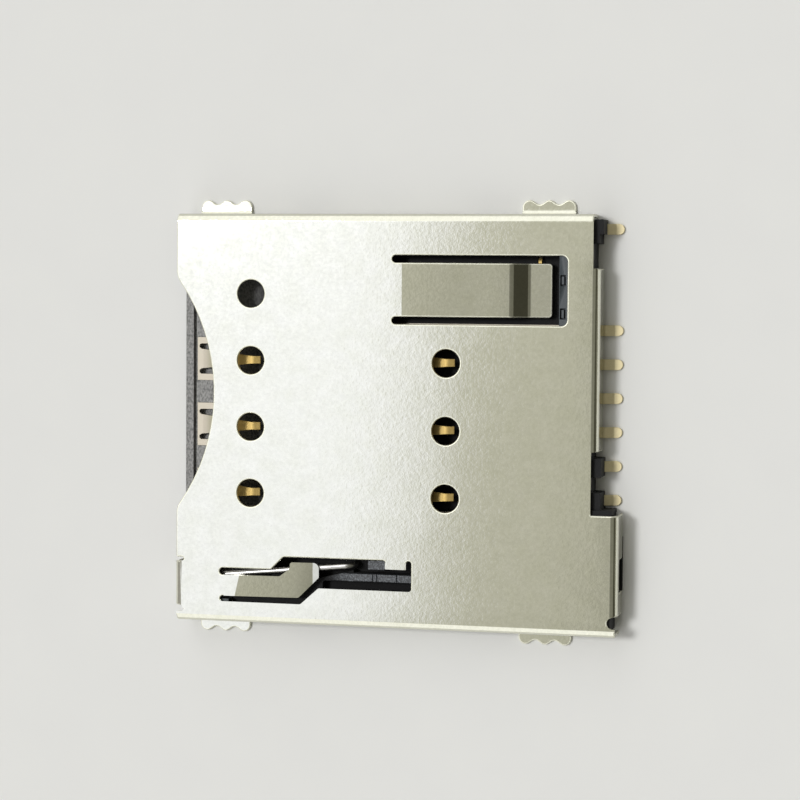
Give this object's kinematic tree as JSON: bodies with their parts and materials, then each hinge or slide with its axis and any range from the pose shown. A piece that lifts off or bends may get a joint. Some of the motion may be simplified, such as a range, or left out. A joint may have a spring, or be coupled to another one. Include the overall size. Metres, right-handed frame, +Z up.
{
  "type": "sim card socket",
  "caption": "Low surface-mount push-push socket for a micro SIM card, with a folded steel cover, sprung gold contacts, a card-detect tab and a cam slider that ejects the card.",
  "frame": {"origin": "on the board plane, below the middle of the folded cover", "axes": "+X is the way the card goes in, towards the solder tails; +Z is up from the board; +Y is away from the slider's lane"},
  "size_m": [0.0172, 0.0168, 0.0015],
  "materials": {
    "cover_steel": "matte plated sheet",
    "black_plastic": "moulded, matte",
    "gold_plate": "gold plated",
    "wire_steel": "drawn wire"
  },
  "bodies": {
    "base": {"housing": "black_plastic", "shell": "cover_steel", "front_contact_1": "gold_plate", "front_contact_2": "gold_plate", "front_contact_3": "gold_plate", "rear_contact_1": "gold_plate", "rear_contact_2": "gold_plate", "rear_contact_3": "gold_plate", "detect_terminal": "gold_plate", "ejector_spring": "wire_steel"},
    "ejector": {"slider": "black_plastic"},
    "pin": {"cam_pin": "wire_steel"}
  },
  "joints": [
    {"name": "slider_slide", "type": "slide", "parent": "base", "child": "ejector", "axis": [1, 0, 0], "range_m": [0, 0.004], "stiffness_N_per_m": 150, "deforming": ["ejector_spring"]},
    {"name": "cam_pin_swing", "type": "hinge", "parent": "base", "child": "pin", "pos_m": [-0.0069, -0.00605, 0], "axis": [0, 0, 1], "range_deg": [-11.7, 0]}
  ],
  "couplings": [
    {"joint": "cam_pin_swing", "follows": "slider_slide", "rad_per_m": -50.61}
  ]
}
